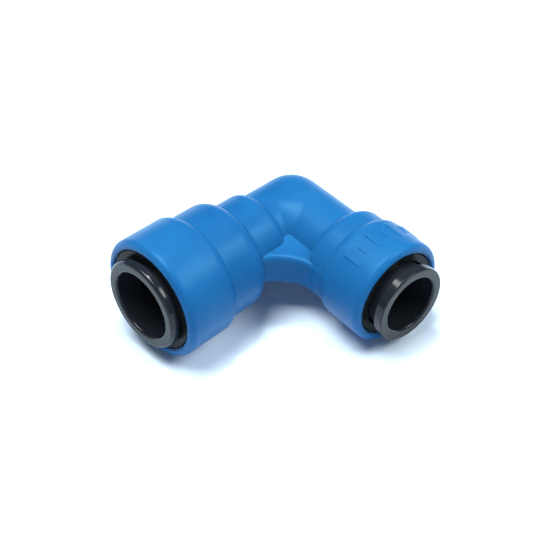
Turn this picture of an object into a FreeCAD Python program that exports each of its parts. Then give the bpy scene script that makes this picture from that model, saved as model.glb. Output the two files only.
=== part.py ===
import FreeCAD, Part
import math
import os

# Push-to-connect reducing elbow for a 12 mm and a 10 mm tube.
#
# A moulded elbow body has a port at each end. In each port an O-ring seals on the tube, a spacer ring
# keeps it in its seat, and a cartridge snapped into the mouth guides a sliding collet. The collet's
# slotted fingers carry stainless teeth. Pulling on the tube draws the finger heads up the cartridge's
# cone, which closes the teeth on the tube; pressing the collet's flange frees it.
#
# Millimetres. +Z is up, the large port faces -X and the small port faces -Y. The origin is the centre
# of the large port's tube seat, where the end of the 12 mm tube stops. "Station" is the distance from
# the elbow's centre, where the two port axes cross, out along a port's axis.

V = FreeCAD.Vector
UP = V(0, 0, 1)
TOUCHING = 1e-6          # points of an outline closer than this are one point

# Elbow body
CORE_R = 6.34            # outside radius of the elbow at its centre
DRAFT = 0.025            # growth of the outside radius per mm towards each mouth
INNER_CORNER_R = 0.6     # radius of the corner between the two legs, seen from above
WATERWAY_R = 4.2         # radius of the flow passage
FOOT_ROUND = 0.5         # rounding of the hollow at each shoulder's foot
MOUTH_ROUND = 1.2        # rounding of each mouth's outer edge
LIP_BEVEL = 0.27         # bevel inside each mouth, along the axis
LIP_BEVEL_R = 0.32       # the same bevel, across the axis

# Web between the legs
WEB_HALF = 3.0           # half of the web's thickness
WEB_ARC_X = -16.5        # centre of the web's hollow front edge, from the elbow's centre
WEB_ARC_Y = -15.1
WEB_ARC_R = 8.45
WEB_END_X = -14.0        # where the web runs into the large leg
WEB_END_Y = -17.2        # where it runs into the small leg
WEB_EDGE_R = 0.8         # rounding of the front edge

# Raised bars on top of the small mouth
BAR_COUNT = 7
BAR_WIDTH = 0.5
BAR_HEIGHT = 0.14
BAR_LONG = 3.6
BAR_SHORT = 2.0
BAR_STATION = 20.4       # station of the bars' middle
BAR_FIRST_ANGLE = 36.0   # angle of the first bar from the top, towards the large leg
BAR_STEP = 15.0

# Fits, on the radius
SOCKET_GAP = 0.05        # tube in its socket
COLLET_GAP = 0.06        # tube in the collet
NECK_GAP = 0.08          # collet neck in the cartridge
CONE_GAP = 0.05          # finger heads off the cartridge's cone with the collet pulled out
RING_GAP = 0.05          # spacer ring in the O-ring bore
SEAL_GAP = 0.02          # O-ring off its bore
SNAP_GAP = 0.03          # cartridge in the mouth

# Pieces common to both ports
NECK_WALL = 0.95         # wall of the collet's neck
SNAP_RIDGE = 0.28        # height of the ridge that holds the cartridge
SNAP_WIDTH = 1.0
EDGE = 0.2               # small edge breaks
LEAD_IN = 0.45           # rounding where the tube enters the collet
AIR = 0.05               # free length left at a stop
FINGERS = 6
SLOT_WIDTH = 1.1         # width of the slots between the fingers
TOOTH_WIDTH = 2.4
TOOTH_LENGTH = 1.4
TOOTH_THICK = 0.5
TOOTH_INSET = 0.6        # distance of a tooth's edge from the finger's tip
TOOTH_LEAN = 60.0        # angle of a tooth to the port's axis, degrees
TOOTH_REACH = 0.10       # how far a tooth's tip is inside the tube's surface
SEAL_REACH = 0.12        # how far the O-ring is inside the tube's surface


class Port:
    """The sizes of one port. Stations and radii are in mm."""

    def __init__(self, name, direction, tube_r, steps, seat, seal_seat, seal_r, cartridge_back,
                 cone_back, cone_front, cone_r, mouth, lip_r, flange_face, flange_thick, flange_r,
                 flange_round, tip, head_r, press, pull):
        self.name = name
        self.direction = direction            # the way the port faces
        self.tube_r = tube_r
        self.steps = steps                    # outside: (shoulder's foot, its crest, radius at the crest)
        self.seat = seat                      # where the tube's end stops
        self.seal_seat = seal_seat            # back of the O-ring bore
        self.seal_r = seal_r
        self.cartridge_back = cartridge_back
        self.cone_back = cone_back            # the cartridge's cone, from its wide end
        self.cone_front = cone_front          # to its narrow end
        self.cone_r = cone_r                  # radius of the wide end
        self.mouth = mouth                    # front of the body
        self.lip_r = lip_r                    # bore of the mouth
        self.flange_face = flange_face        # front of the collet, as it rests
        self.flange_thick = flange_thick
        self.flange_r = flange_r
        self.flange_round = flange_round      # rounding of the flange's front edge
        self.tip = tip                        # inner end of the collet's fingers
        self.head_r = head_r                  # radius of the finger heads
        self.press = press                    # travel of the collet inwards from rest
        self.pull = pull                      # travel of the collet outwards from rest

        self.socket_r = tube_r + SOCKET_GAP
        self.collet_bore_r = tube_r + COLLET_GAP
        self.neck_r = self.collet_bore_r + NECK_WALL
        self.guide_r = self.neck_r + NECK_GAP
        self.cartridge_face = mouth - LIP_BEVEL - SNAP_GAP
        self.snap = cartridge_back + 0.55 * (self.cartridge_face - cartridge_back)

    def place(self, shape):
        """Turn a shape built along +Z, with +X as its top, into this port."""
        side = self.direction.cross(UP)
        shape.Placement = FreeCAD.Placement(V(), FreeCAD.Rotation(UP, side, self.direction, "ZXY"))
        return shape


LARGE = Port(
    "large", V(-1, 0, 0), tube_r=6.0,
    steps=[(7.12, 8.69, 7.50), (13.17, 15.96, 9.50), (21.04, 22.65, 10.58)],
    seat=8.0, seal_seat=14.6, seal_r=8.0, cartridge_back=21.5,
    cone_back=22.5, cone_front=25.5, cone_r=8.2,
    mouth=31.2, lip_r=9.2,
    flange_face=33.16, flange_thick=1.6, flange_r=8.0, flange_round=0.6,
    tip=20.6, head_r=7.7, press=0.6, pull=1.2)

SMALL = Port(
    "small", V(0, -1, 0), tube_r=5.0,
    steps=[(11.65, 13.71, 8.30), (16.26, 17.82, 9.12)],
    seat=6.5, seal_seat=12.6, seal_r=6.9, cartridge_back=17.1,
    cone_back=18.8, cone_front=21.4, cone_r=7.0,
    mouth=25.7, lip_r=7.72,
    flange_face=28.90, flange_thick=1.75, flange_r=6.87, flange_round=0.3,
    tip=18.4, head_r=6.6, press=1.7, pull=0.0)

PORTS = (LARGE, SMALL)


def at(station, radius):
    """Point of an outline that is turned about Z."""
    return V(radius, 0, station)


def line(start, end):
    return Part.LineSegment(at(*start), at(*end)).toShape()


def arc(centre, radius, start, end):
    """Arc for an outline, between two directions in degrees from the port's outward direction."""
    points = []
    for angle in (start, (start + end) / 2, end):
        turn = math.radians(angle)
        points.append((centre[0] + radius * math.cos(turn), centre[1] + radius * math.sin(turn)))
    return points


def shoulder(start, foot_station, crest):
    """The two arcs of a step: a small hollow at its foot, and the round up to its crest.

    The round leaves the drafted run from start at a slant and lands level on the crest.
    """
    foot_r = start[1] + DRAFT * (foot_station - start[0])
    run, rise = crest[0] - foot_station, crest[1] - foot_r
    radius = (run**2 + rise**2) / (2 * rise)
    centre = (crest[0], crest[1] - radius)
    # The hollow touches both, so its centre is FOOT_ROUND off the drafted run and off the round.
    lift = start[1] - DRAFT * start[0] + FOOT_ROUND * math.hypot(1, DRAFT) - centre[1]
    a = 1 + DRAFT**2
    b = DRAFT * lift - centre[0]
    c = centre[0]**2 + lift**2 - (radius + FOOT_ROUND)**2
    station = (-b - math.sqrt(b**2 - a * c)) / a
    hollow = (station, centre[1] + lift + DRAFT * station)
    level = math.degrees(math.atan(DRAFT))
    joined = math.degrees(math.atan2(hollow[1] - centre[1], hollow[0] - centre[0]))
    return [arc(hollow, FOOT_ROUND, level - 90, joined - 180), arc(centre, radius, joined, 90)]


def turned(outline):
    """Solid turned about Z from a closed outline of (station, radius) points and arcs."""
    edges = []
    for item, following in zip(outline, outline[1:] + outline[:1]):
        end = item
        if isinstance(item, list):
            edges.append(Part.Arc(*[at(*point) for point in item]).toShape())
            end = item[-1]
        start = following[0] if isinstance(following, list) else following
        if math.dist(end, start) > TOUCHING:
            edges.append(line(end, start))
    return Part.Face(Part.Wire(edges)).revolve(V(), UP, 360)


def leg_outside(port):
    """Outside of one leg: drafted steps with rounded shoulders, then the rounded mouth."""
    here = (0, CORE_R)
    outline = [(0, 0), here]
    for foot_station, crest_station, radius in port.steps:
        outline += shoulder(here, foot_station, (crest_station, radius))
        here = (crest_station, radius)
    round_start = port.mouth - MOUTH_ROUND
    rim_r = here[1] + DRAFT * (round_start - here[0])
    outline += [arc((round_start, rim_r - MOUTH_ROUND), MOUTH_ROUND, 90, 0), (port.mouth, 0)]
    return port.place(turned(outline))


def leg_inside(port):
    """Everything cut from one leg: waterway, tube socket, O-ring bore, cartridge bore and lip."""
    ridge_r = port.lip_r + SNAP_RIDGE
    ridge_end = port.snap + SNAP_WIDTH
    past = port.mouth + 1
    return port.place(turned([
        (0, 0), (0, WATERWAY_R), (port.seat, WATERWAY_R), (port.seat, port.socket_r),
        (port.seal_seat - 2 * EDGE, port.socket_r), (port.seal_seat, port.socket_r + 2 * EDGE),
        (port.seal_seat, port.seal_r), (port.cartridge_back - EDGE, port.seal_r),
        (port.cartridge_back, port.seal_r + EDGE), (port.cartridge_back, port.lip_r),
        (port.snap - SNAP_RIDGE, port.lip_r), (port.snap, ridge_r), (ridge_end, ridge_r),
        (ridge_end, port.lip_r), (port.mouth - LIP_BEVEL, port.lip_r),
        (port.mouth, port.lip_r + LIP_BEVEL_R), (past, port.lip_r + LIP_BEVEL_R), (past, 0)]))


def inner_bend():
    """Quarter bend that rounds the corner between the legs."""
    reach = CORE_R + INNER_CORNER_R
    ring = Part.Wire([Part.makeCircle(CORE_R, V(0, -reach, 0), V(0, 1, 0))])
    return Part.Face(ring).revolve(V(-reach, -reach, 0), UP, 90)


def web():
    """Flat web in the corner, with a hollow front edge whose two long edges are rounded."""
    centre = V(WEB_ARC_X, WEB_ARC_Y, -WEB_HALF)
    large_end = V(WEB_END_X, WEB_ARC_Y + math.sqrt(WEB_ARC_R**2 - (WEB_END_X - WEB_ARC_X)**2), -WEB_HALF)
    small_end = V(WEB_ARC_X + math.sqrt(WEB_ARC_R**2 - (WEB_END_Y - WEB_ARC_Y)**2), WEB_END_Y, -WEB_HALF)
    middle = centre + V(1, 1, 0).normalize() * WEB_ARC_R
    front = Part.Arc(large_end, middle, small_end).toShape()
    sides = Part.makePolygon([small_end, V(0, WEB_END_Y, -WEB_HALF), V(0, 0, -WEB_HALF),
                              V(WEB_END_X, 0, -WEB_HALF), large_end])
    plate = Part.Face(Part.Wire([front] + sides.Edges)).extrude(UP * (2 * WEB_HALF))
    arcs = [e for e in plate.Edges if isinstance(e.Curve, Part.Circle)]
    return plate.makeFillet(WEB_EDGE_R, arcs)


def raised_bars():
    """Row of raised bars, long and short in turn, around the top of the small mouth."""
    crest_station, crest_r = SMALL.steps[-1][1:]
    surface_r = crest_r + DRAFT * (BAR_STATION - crest_station)
    bars = []
    for i in range(BAR_COUNT):
        length = BAR_LONG if i % 2 == 0 else BAR_SHORT
        bar = Part.makeBox(1 + BAR_HEIGHT, BAR_WIDTH, length,
                           V(surface_r - 1, -BAR_WIDTH / 2, BAR_STATION - length / 2))
        tops = [e for e in bar.Edges if e.BoundBox.XMin > surface_r]
        bar = bar.makeFillet(0.7 * BAR_HEIGHT, tops)
        bar.rotate(V(), UP, BAR_FIRST_ANGLE - i * BAR_STEP)
        bars.append(SMALL.place(Part.makeCompound([bar])).Solids[0])
    return bars


def body():
    outside = Part.makeSphere(CORE_R).fuse([leg_outside(p) for p in PORTS] + [inner_bend(), web()])
    outside = outside.fuse(raised_bars())
    inside = Part.makeSphere(WATERWAY_R).fuse([leg_inside(p) for p in PORTS])
    return outside.cut(inside)


def cartridge(port):
    """Ring snapped into the mouth: guide bore in front, and the cone that closes the fingers."""
    outer_r = port.lip_r - SNAP_GAP
    ridge_r = outer_r + SNAP_RIDGE
    back, face, ridge = port.cartridge_back + SNAP_GAP, port.cartridge_face, port.snap + SNAP_GAP
    ridge_end = port.snap + SNAP_WIDTH - SNAP_GAP
    return port.place(turned([
        (back, port.cone_r), (port.cone_back, port.cone_r), (port.cone_front, port.guide_r),
        (face - EDGE, port.guide_r), (face, port.guide_r + EDGE), (face, outer_r - EDGE),
        (face - EDGE, outer_r), (ridge_end, outer_r), (ridge_end, ridge_r), (ridge, ridge_r),
        (ridge - SNAP_RIDGE, outer_r), (back + EDGE, outer_r), (back, outer_r - EDGE)]))


def o_ring(port):
    inner_r = port.tube_r - SEAL_REACH
    section_r = (port.seal_r - SEAL_GAP - inner_r) / 2
    ring = Part.makeTorus(inner_r + section_r, section_r)
    ring.translate(UP * (port.seal_seat + AIR + section_r))
    return port.place(Part.makeCompound([ring])).Solids[0]


def spacer_ring(port):
    """Loose ring between the O-ring and the collet's fingers."""
    section = port.seal_r - SEAL_GAP - port.tube_r + SEAL_REACH
    back = port.seal_seat + AIR + section + AIR
    front = port.tip - port.press - 3 * AIR
    inner_r, outer_r = port.collet_bore_r, port.seal_r - RING_GAP
    return port.place(turned([
        (back, inner_r), (front - EDGE, inner_r), (front, inner_r + EDGE), (front, outer_r - EDGE),
        (front - EDGE, outer_r), (back, outer_r)]))


def tooth_blank(port, angle):
    """Slanted steel tooth, its edge in the bore and its root in a finger."""
    lean = math.radians(TOOTH_LEAN)
    tip_station, tip_r = port.tip + TOOTH_INSET, port.tube_r - TOOTH_REACH
    root_station = tip_station + TOOTH_LENGTH * math.cos(lean)
    root_r = tip_r + TOOTH_LENGTH * math.sin(lean)
    outline = [(tip_station, tip_r), (root_station, root_r), (root_station + TOOTH_THICK, root_r),
               (tip_station + TOOTH_THICK, tip_r + TOOTH_THICK / 2)]
    edge = Part.makePolygon([at(*p) for p in outline + outline[:1]])
    tooth = Part.Face(edge).extrude(V(0, TOOTH_WIDTH, 0))
    tooth.translate(V(0, -TOOTH_WIDTH / 2, 0))
    tooth.rotate(V(), UP, angle)
    return tooth


def tooth_angles():
    """Angles of the fingers' middles; the slots are halfway between them."""
    return [(i + 0.5) * 360 / FINGERS for i in range(FINGERS)]


def tooth(port, angle):
    return port.place(Part.makeCompound([tooth_blank(port, angle)])).Solids[0]


def collet(port):
    """Flanged sleeve with slotted fingers, whose heads run on the cartridge's cone."""
    bore_r, neck_r, rim_round = port.collet_bore_r, port.neck_r, port.flange_round
    slope = (port.cone_r - port.guide_r) / (port.cone_front - port.cone_back)
    gap = CONE_GAP + slope * port.pull
    head_front = port.cone_front - (neck_r + gap - port.guide_r) / slope
    head_back = port.cone_front - (port.head_r + gap - port.guide_r) / slope
    flange_back = port.flange_face - port.flange_thick
    sleeve = turned([
        (port.tip, bore_r + EDGE), (port.tip + EDGE, bore_r),
        arc((port.flange_face - LEAD_IN, bore_r + LEAD_IN), LEAD_IN, -90, 0),
        arc((port.flange_face - rim_round, port.flange_r - rim_round), rim_round, 0, 90),
        (flange_back + EDGE, port.flange_r),
        (flange_back, port.flange_r - EDGE), (flange_back, neck_r), (head_front, neck_r),
        (head_back, port.head_r), (port.tip + 2 * EDGE, port.head_r),
        (port.tip, port.head_r - 2 * EDGE)])
    slot_length = port.cartridge_face - 2.5 - port.tip
    for i in range(FINGERS // 2):
        slot = Part.makeBox(4 * port.flange_r, SLOT_WIDTH, slot_length + 1,
                            V(-2 * port.flange_r, -SLOT_WIDTH / 2, port.tip - 1))
        slot.rotate(V(), UP, i * 360 / FINGERS)
        sleeve = sleeve.cut(slot)
    sleeve = sleeve.cut([tooth_blank(port, angle) for angle in tooth_angles()])
    return port.place(sleeve)


def save(node, shape):
    """Write one node, moved so that the large port's tube seat is the origin."""
    solid = shape.Solids[0]
    assert len(shape.Solids) == 1 and solid.isValid(), node
    solid = solid.copy()
    solid.translate(V(LARGE.seat, 0, 0))
    solid.exportStep(f"parts/{node}.step")
    print(f"{node:22s} {solid.Volume:9.2f} mm3  {len(solid.Faces)} faces")


os.makedirs("parts", exist_ok=True)
save("body", body())
for port in PORTS:
    save(f"{port.name}_cartridge", cartridge(port))
    save(f"{port.name}_o_ring", o_ring(port))
    save(f"{port.name}_spacer_ring", spacer_ring(port))
    save(f"{port.name}_collet", collet(port))
    for number, angle in enumerate(tooth_angles(), 1):
        save(f"{port.name}_tooth_{number}", tooth(port, angle))
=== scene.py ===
import math

import bpy
from mathutils import Matrix, Vector


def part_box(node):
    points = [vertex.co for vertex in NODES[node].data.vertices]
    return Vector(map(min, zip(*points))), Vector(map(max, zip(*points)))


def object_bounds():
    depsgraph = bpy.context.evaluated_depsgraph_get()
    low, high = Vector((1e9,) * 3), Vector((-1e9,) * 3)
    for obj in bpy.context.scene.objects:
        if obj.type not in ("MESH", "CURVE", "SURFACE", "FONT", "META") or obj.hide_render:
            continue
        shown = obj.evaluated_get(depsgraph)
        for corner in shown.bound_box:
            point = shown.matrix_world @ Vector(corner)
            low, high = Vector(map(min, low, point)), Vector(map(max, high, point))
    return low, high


# Looks for the push-to-connect elbow: materials, floor, light and camera. Metres, in the CAD frame:
# the large port faces -X, the small port faces -Y, +Z is up. Colours are linear red, green and blue.

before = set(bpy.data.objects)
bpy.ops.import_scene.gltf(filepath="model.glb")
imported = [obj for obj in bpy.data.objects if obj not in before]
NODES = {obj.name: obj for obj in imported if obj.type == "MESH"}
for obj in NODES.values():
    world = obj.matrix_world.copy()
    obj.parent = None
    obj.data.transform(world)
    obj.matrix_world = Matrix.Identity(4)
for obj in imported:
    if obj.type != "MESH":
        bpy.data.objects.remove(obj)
CAD_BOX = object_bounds()

MM = 0.001

# Blue plastic of the body
BLUE_DARK = (0.0065, 0.082, 0.232)
BLUE_LIGHT = (0.0095, 0.103, 0.268)
BLUE_CLOUD = (0.008, 0.092, 0.25)
BLUE_SPECK = (0.016, 0.16, 0.38)
# Lighter blue laid along sharp edges and steps: partly rubbed wear, partly a painted highlight.
BLUE_WEAR_AND_EDGE_HIGHLIGHT = (0.03, 0.23, 0.48)
BLUE_DUSTY = (0.02, 0.07, 0.17)
BLUE_GLINT = (0.3, 0.85, 1.0, 1.0)
SEAM_HALF = 0.03 * MM        # half width of the parting line
SEAM_FADE = 0.10 * MM        # where it has faded out
SEAM_HEIGHT = 0.015 * MM

# Black plastics: darkest and lightest colour of the sides and of the end faces
CARTRIDGE_LOOK = {
    "side": ((0.003, 0.004, 0.006), (0.006, 0.008, 0.010)),
    "face": ((0.005, 0.007, 0.007), (0.009, 0.011, 0.011)),
    "worn": (0.03, 0.032, 0.031),
    "shine": 0.06,
}
COLLET_LOOK = {
    "side": ((0.008, 0.010, 0.014), (0.012, 0.015, 0.019)),
    "face": ((0.011, 0.014, 0.015), (0.018, 0.021, 0.021)),
    "worn": (0.07, 0.075, 0.07),
    "shine": 0.2,
}
RING_PITCH = 0.11 * MM       # width of the faint rings round a port's axis

# Rubber and steel
RUBBER_BLACK = (0.010, 0.010, 0.011)
RUBBER_BLOOM = (0.03, 0.03, 0.032)
STEEL_DARK = (0.50, 0.50, 0.49)
STEEL_LIGHT = (0.66, 0.65, 0.63)

# Floor
MOUTH_DEPTH = 2.5 * MM       # the mouth's rounded rim lies within this of the body's end
SLEEVE_LENGTH = 8.5 * MM     # and the drafted sleeve behind it within this
FLOOR_HALF = 3.0
FLOOR_CELLS = 64
SLOPE_INSIDE = 0.06          # the sheet follows the body's slope up to here
SLOPE_OUTSIDE = 0.25         # and is level from here
# The floor colours are tinted blue so its shadows come out blue: painted bounce light from the blue
# body. Lit floor clips to white.
FLOOR_BOUNCE_TINT_DARK = (0.64, 0.79, 0.92)
FLOOR_BOUNCE_TINT_LIGHT = (0.67, 0.81, 0.93)
FLOOR_ROUGHNESS = 0.8

# Camera: position in metres, angles in degrees, lens and sensor width in millimetres
CAMERA_POSITION = Vector((-204.512, -225.911, 301.072)) * MM
CAMERA_YAW, CAMERA_PITCH, CAMERA_ROLL = -42.776, 45.562, 0.96
CAMERA_LENS, CAMERA_SENSOR = 168.07, 36
CAMERA_NEAR, CAMERA_FAR = 0.01, 10

# Lights: name, direction from the object, width along the floor, height, watts
LIGHT_DISTANCE = 0.6
LIGHTS = (
    ("key", (-0.19, 0.19, 0.96), 0.34, 0.34, 6.1),
    ("lamp", (0.17, 0.2, 0.96), 0.08, 0.08, 1.6),
    ("side", (0.47, -0.5, 0.73), 0.34, 0.2, 2.9),
    ("front", (-0.7, -0.75, 0.35), 0.5, 0.5, 0.6),
)
SKY_COLOUR = (0.5, 0.7, 1, 1)
SKY_STRENGTH = 0.14


# --- Node helpers -------------------------------------------------------------------------------

class Graph:
    """A material's nodes, placed in the object's own coordinates."""

    def __init__(self, name):
        self.material = bpy.data.materials.new(name)
        self.material.use_nodes = True
        self.tree = self.material.node_tree
        self.shader = self.tree.nodes["Principled BSDF"]
        self.place = self.add("ShaderNodeTexCoord").outputs["Object"]

    def add(self, kind, **settings):
        node = self.tree.nodes.new(kind)
        for key, value in settings.items():
            setattr(node, key, value)
        return node

    def plug(self, source, socket):
        """Link an output, or set a constant."""
        if isinstance(source, bpy.types.NodeSocket):
            self.tree.links.new(source, socket)
        else:
            socket.default_value = source

    def scaled(self, factors):
        """The coordinates with each axis multiplied, to stretch a pattern."""
        node = self.add("ShaderNodeVectorMath", operation="MULTIPLY")
        self.plug(self.place, node.inputs[0])
        self.plug(factors, node.inputs[1])
        return node.outputs["Vector"]

    def noise(self, size, detail=2.0, rough=0.5, place=None):
        """Noise from 0 to 1 whose blobs are about size metres across."""
        node = self.add("ShaderNodeTexNoise")
        self.plug(place or self.place, node.inputs["Vector"])
        self.plug(1 / size, node.inputs["Scale"])
        self.plug(detail, node.inputs["Detail"])
        self.plug(rough, node.inputs["Roughness"])
        return node.outputs["Fac"]

    def cells(self, size):
        """Distance to the nearest of scattered points about size metres apart."""
        node = self.add("ShaderNodeTexVoronoi")
        self.plug(self.place, node.inputs["Vector"])
        self.plug(1 / size, node.inputs["Scale"])
        return node.outputs["Distance"]

    def math(self, operation, a, b=0.0):
        node = self.add("ShaderNodeMath", operation=operation)
        for value, socket in zip((a, b), node.inputs):
            self.plug(value, socket)
        return node.outputs[0]

    def span(self, value, low, high, out_low=0.0, out_high=1.0):
        """Map low..high smoothly to out_low..out_high, held at the ends."""
        node = self.add("ShaderNodeMapRange", interpolation_type="SMOOTHSTEP")
        for value, name in ((value, "Value"), (low, "From Min"), (high, "From Max"),
                            (out_low, "To Min"), (out_high, "To Max")):
            self.plug(value, node.inputs[name])
        return node.outputs["Result"]

    def blend(self, amount, first, second):
        """Mix two colours, given as (r, g, b) or as outputs."""
        node = self.add("ShaderNodeMix", data_type="RGBA")
        self.plug(amount, node.inputs["Factor"])
        for value, name in ((first, "A_Color"), (second, "B_Color")):
            socket = next(s for s in node.inputs if s.identifier == name)
            self.plug((*value, 1) if isinstance(value, tuple) else value, socket)
        return next(s for s in node.outputs if s.identifier == "Result_Color")

    def bump(self, height, depth, before=None):
        """Bump of a 0..1 height that stands depth metres proud, on top of an earlier bump."""
        node = self.add("ShaderNodeBump")
        self.plug(1.0, node.inputs["Strength"])
        self.plug(depth, node.inputs["Distance"])
        self.plug(height, node.inputs["Height"])
        if before is not None:
            self.plug(before, node.inputs["Normal"])
        return node.outputs["Normal"]

    def edges(self, radius):
        """1 on sharp outside edges, fading to 0 over about radius metres."""
        rounded = self.add("ShaderNodeBevel", samples=8)
        self.plug(radius, rounded.inputs["Radius"])
        flat = self.add("ShaderNodeNewGeometry")
        same = self.add("ShaderNodeVectorMath", operation="DOT_PRODUCT")
        self.plug(rounded.outputs["Normal"], same.inputs[0])
        self.plug(flat.outputs["Normal"], same.inputs[1])
        return self.span(same.outputs["Value"], 0.98, 0.80)

    def along_axis(self, port):
        """How far a surface faces along a port's axis, from 0 to 1."""
        parts = self.add("ShaderNodeSeparateXYZ")
        self.plug(self.add("ShaderNodeTexCoord").outputs["Normal"], parts.inputs[0])
        return self.math("ABSOLUTE", parts.outputs[AXES[port]["along"]])

    def distance_to_axis(self, port):
        """Distance from a port's axis, in metres."""
        flattened = self.add("ShaderNodeVectorMath", operation="MULTIPLY_ADD")
        self.plug(self.place, flattened.inputs[0])
        self.plug(AXES[port]["across"], flattened.inputs[1])
        self.plug(AXES[port]["offset"], flattened.inputs[2])
        length = self.add("ShaderNodeVectorMath", operation="LENGTH")
        self.plug(flattened.outputs["Vector"], length.inputs[0])
        return length.outputs["Value"]

    def finish(self, colour, roughness, normal, **constants):
        self.plug(colour, self.shader.inputs["Base Color"])
        self.plug(roughness, self.shader.inputs["Roughness"])
        self.plug(normal, self.shader.inputs["Normal"])
        for name, value in constants.items():
            self.shader.inputs[name.replace("_", " ")].default_value = value
        return self.material


def middle(node):
    low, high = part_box(node)
    return (low + high) / 2


# Each port's axis runs through the middle of its cartridge.
AXES = {
    "large": {"along": "X", "across": (0, 1, 1), "offset": (0, -middle("large_cartridge").y, 0)},
    "small": {"along": "Y", "across": (1, 0, 1), "offset": (-middle("small_cartridge").x, 0, 0)},
}


# --- Materials ----------------------------------------------------------------------------------

def body_plastic():
    """Blue moulded acetal: satin, spark-eroded skin, faint flow marks, scuffs, a parting line, and
    lighter edges that are partly rubbed wear and partly painted highlight.
    """
    g = Graph("body_plastic")
    flow = g.noise(9 * MM, detail=3, place=g.scaled((1.0, 1.0, 0.5)))
    cloud = g.noise(3 * MM, detail=4, rough=0.6)
    speck = g.noise(0.25 * MM, detail=2)
    colour = g.blend(g.span(flow, 0.3, 0.7), BLUE_DARK, BLUE_LIGHT)
    colour = g.blend(g.span(cloud, 0.35, 0.75, 0.0, 0.5), colour, BLUE_CLOUD)
    colour = g.blend(g.span(speck, 0.62, 0.8, 0.0, 0.22), colour, BLUE_SPECK)
    # Lighter blue along sharp edges and steps, including creases: partly rubbed wear, partly a
    # painted highlight.
    wear_and_edge_highlight = g.math("MULTIPLY", g.edges(0.35 * MM), g.span(g.noise(1.2 * MM, detail=5), 0.35, 0.65))
    colour = g.blend(g.math("MULTIPLY", wear_and_edge_highlight, 0.12), colour, BLUE_WEAR_AND_EDGE_HIGHLIGHT)
    dust = g.span(g.cells(4.5 * MM), 0.045, 0.03)
    colour = g.blend(g.math("MULTIPLY", dust, 0.5), colour, BLUE_DUSTY)

    scuffs = g.noise(0.5 * MM, detail=4, rough=0.7, place=g.scaled((0.25, 1.0, 1.0)))
    scuffs = g.span(scuffs, 0.62, 0.72)
    roughness = g.span(cloud, 0.2, 0.8, 0.32, 0.40)
    roughness = g.math("ADD", roughness, g.math("MULTIPLY", scuffs, 0.07))

    seam = g.add("ShaderNodeSeparateXYZ")
    g.plug(g.place, seam.inputs[0])
    seam = g.span(g.math("ABSOLUTE", seam.outputs["Z"]), SEAM_FADE, SEAM_HALF)
    normal = g.bump(g.noise(0.16 * MM, detail=3, rough=0.6), 0.006 * MM)
    normal = g.bump(g.noise(2.4 * MM, detail=1), 0.035 * MM, before=normal)
    normal = g.bump(scuffs, 0.002 * MM, before=normal)
    normal = g.bump(seam, SEAM_HEIGHT, before=normal)
    return g.finish(colour, roughness, normal, Subsurface_Weight=0.55, Subsurface_Scale=1.8 * MM,
                    Subsurface_Radius=(0.3, 0.7, 1.0), IOR=1.38,
                    Specular_IOR_Level=0.23, Specular_Tint=BLUE_GLINT)


def turned_plastic(name, port, side, face, worn, shine):
    """Glossy black plastic: smooth dark sides, duller end faces and faint rings round the axis."""
    g = Graph(name)
    cloud = g.noise(2.2 * MM, detail=4, rough=0.6)
    end = g.span(g.along_axis(port), 0.8, 0.95)
    wear = g.math("MULTIPLY", g.edges(0.12 * MM), g.span(g.noise(0.9 * MM, detail=5), 0.3, 0.62))
    colour = g.blend(end, g.blend(cloud, side[0], side[1]), g.blend(cloud, face[0], face[1]))
    colour = g.blend(g.math("MULTIPLY", wear, 0.5), colour, worn)

    ring = g.math("MULTIPLY", g.distance_to_axis(port), 1 / RING_PITCH)
    ring = g.noise(1.0, detail=2, place=ring)
    haze = g.noise(1.1 * MM, detail=4, rough=0.65)
    roughness = g.math("ADD", g.span(haze, 0.3, 0.7, 0.11, 0.17), g.math("MULTIPLY", end, 0.12))
    roughness = g.math("ADD", roughness, g.math("MULTIPLY", wear, 0.08))
    normal = g.bump(g.noise(0.14 * MM, detail=2), 0.0006 * MM)
    normal = g.bump(ring, 0.0008 * MM, before=normal)
    normal = g.bump(g.noise(1.8 * MM, detail=1), 0.01 * MM, before=normal)
    return g.finish(colour, roughness, normal, IOR=1.5, Specular_IOR_Level=shine)


def rubber():
    """Black nitrile O-ring with a thin film of grease."""
    g = Graph("seal_rubber")
    bloom = g.noise(0.8 * MM, detail=4, rough=0.6)
    colour = g.blend(g.span(bloom, 0.45, 0.75, 0.0, 0.6), RUBBER_BLACK, RUBBER_BLOOM)
    roughness = g.span(g.noise(1.5 * MM, detail=3), 0.3, 0.7, 0.28, 0.5)
    normal = g.bump(g.noise(0.08 * MM, detail=2), 0.004 * MM)
    return g.finish(colour, roughness, normal, Coat_Weight=0.25, Coat_Roughness=0.2)


def steel():
    """Bright stamped stainless strip with grain along its length."""
    g = Graph("tooth_steel")
    grain = g.noise(0.06 * MM, detail=3, place=g.scaled((1.0, 1.0, 0.15)))
    tint = g.noise(0.6 * MM, detail=3)
    colour = g.blend(g.span(tint, 0.3, 0.7), STEEL_DARK, STEEL_LIGHT)
    roughness = g.span(grain, 0.3, 0.7, 0.2, 0.4)
    normal = g.bump(grain, 0.002 * MM)
    return g.finish(colour, roughness, normal, Metallic=1.0)


def dress(node, material):
    mesh = NODES[node].data
    mesh.materials.clear()
    mesh.materials.append(material)


def dress_all():
    blue, black, bright = body_plastic(), rubber(), steel()
    dress("body", blue)
    for port in AXES:
        cartridge = turned_plastic(f"cartridge_plastic_{port}", port, **CARTRIDGE_LOOK)
        collet = turned_plastic(f"collet_plastic_{port}", port, **COLLET_LOOK)
        dress(f"{port}_cartridge", cartridge)
        dress(f"{port}_spacer_ring", cartridge)
        dress(f"{port}_collet", collet)
        dress(f"{port}_o_ring", black)
    for node in NODES:
        if "tooth" in node:
            dress(node, bright)


# --- Camera -------------------------------------------------------------------------------------

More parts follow.
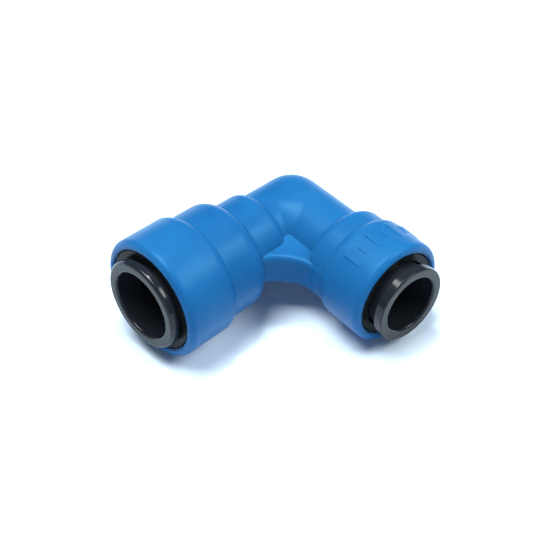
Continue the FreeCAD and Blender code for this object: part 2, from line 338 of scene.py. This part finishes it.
def make_camera():
    yaw, pitch, roll = (math.radians(angle) for angle in (CAMERA_YAW, CAMERA_PITCH, CAMERA_ROLL))
    forward = Vector((-math.sin(yaw) * math.cos(pitch), math.cos(yaw) * math.cos(pitch),
                      -math.sin(pitch)))
    level = Vector((math.cos(yaw), math.sin(yaw), 0))
    above = level.cross(forward)
    right = math.cos(roll) * level + math.sin(roll) * above
    up = math.cos(roll) * above - math.sin(roll) * level
    data = bpy.data.cameras.new("camera")
    data.sensor_width = CAMERA_SENSOR
    data.lens = CAMERA_LENS
    data.clip_start, data.clip_end = CAMERA_NEAR, CAMERA_FAR
    camera = bpy.data.objects.new("camera", data)
    bpy.context.collection.objects.link(camera)
    turn = Matrix((right, up, -forward)).transposed().to_4x4()
    camera.matrix_world = Matrix.Translation(CAMERA_POSITION) @ turn
    bpy.context.scene.camera = camera


# --- Floor and light ----------------------------------------------------------------------------

def lowest(node, keep):
    """Lowest point of a node's mesh among the points that pass a test."""
    return min((v.co for v in NODES[node].data.vertices if keep(v.co)), key=lambda co: co.z)


def floor_slope():
    """Plane z = level + x * a + y * b that the body lies on, with its big sleeve and small mouth."""
    low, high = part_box("body")
    large_mouth = lowest("body", lambda co: co.x < low.x + MOUTH_DEPTH)
    sleeve = lowest("body", lambda co: low.x + MOUTH_DEPTH < co.x < low.x + SLEEVE_LENGTH)
    small_mouth = lowest("body", lambda co: co.y < low.y + MOUTH_DEPTH)
    normal = (sleeve - large_mouth).cross(small_mouth - large_mouth)
    a, b = -normal.x / normal.z, -normal.y / normal.z
    return large_mouth.z - a * large_mouth.x - b * large_mouth.y, a, b


def make_floor():
    """Pale sheet that meets the body where it rests, and is level further out."""
    level, a, b = floor_slope()
    steps = [-1 + 2 * i / FLOOR_CELLS for i in range(FLOOR_CELLS + 1)]
    lines = [FLOOR_HALF * t**3 for t in steps]
    vertices = []
    for y in lines:
        for x in lines:
            away = (math.hypot(x, y) - SLOPE_INSIDE) / (SLOPE_OUTSIDE - SLOPE_INSIDE)
            away = min(max(away, 0), 1)
            slope = 1 - away * away * (3 - 2 * away)
            vertices.append((x, y, level + slope * (a * x + b * y)))
    row = FLOOR_CELLS + 1
    faces = [(i * row + j, i * row + j + 1, (i + 1) * row + j + 1, (i + 1) * row + j)
             for i in range(FLOOR_CELLS) for j in range(FLOOR_CELLS)]
    data = bpy.data.meshes.new("floor")
    data.from_pydata(vertices, [], faces)
    data.shade_smooth()
    floor = bpy.data.objects.new("floor", data)
    bpy.context.collection.objects.link(floor)
    g = Graph("floor")
    paper = g.noise(60 * MM, detail=2)
    # Blue-tinted paper: the tint is painted bounce light that colours the shadows blue.
    colour = g.blend(g.span(paper, 0.3, 0.7), FLOOR_BOUNCE_TINT_DARK, FLOOR_BOUNCE_TINT_LIGHT)
    grain = g.bump(g.noise(0.5 * MM, detail=3), 0.005 * MM)
    data.materials.append(g.finish(colour, FLOOR_ROUGHNESS, grain))


def make_light(name, direction, width, height, power):
    """Rectangular soft light that faces the object from a direction."""
    data = bpy.data.lights.new(name, "AREA")
    data.shape = "RECTANGLE"
    data.size, data.size_y = width, height
    data.energy = power
    light = bpy.data.objects.new(name, data)
    bpy.context.collection.objects.link(light)
    way = Vector(direction).normalized()
    light.location = (CAD_BOX[0] + CAD_BOX[1]) / 2 + way * LIGHT_DISTANCE
    light.rotation_mode = "QUATERNION"
    light.rotation_quaternion = way.to_track_quat("Z", "Y")


def make_world():
    world = bpy.data.worlds.new("studio")
    world.use_nodes = True
    sky = world.node_tree.nodes["Background"]
    sky.inputs["Color"].default_value = SKY_COLOUR
    sky.inputs["Strength"].default_value = SKY_STRENGTH
    bpy.context.scene.world = world
    bpy.context.scene.view_settings.view_transform = "Standard"


dress_all()
make_camera()
make_floor()
make_world()
for light in LIGHTS:
    make_light(*light)
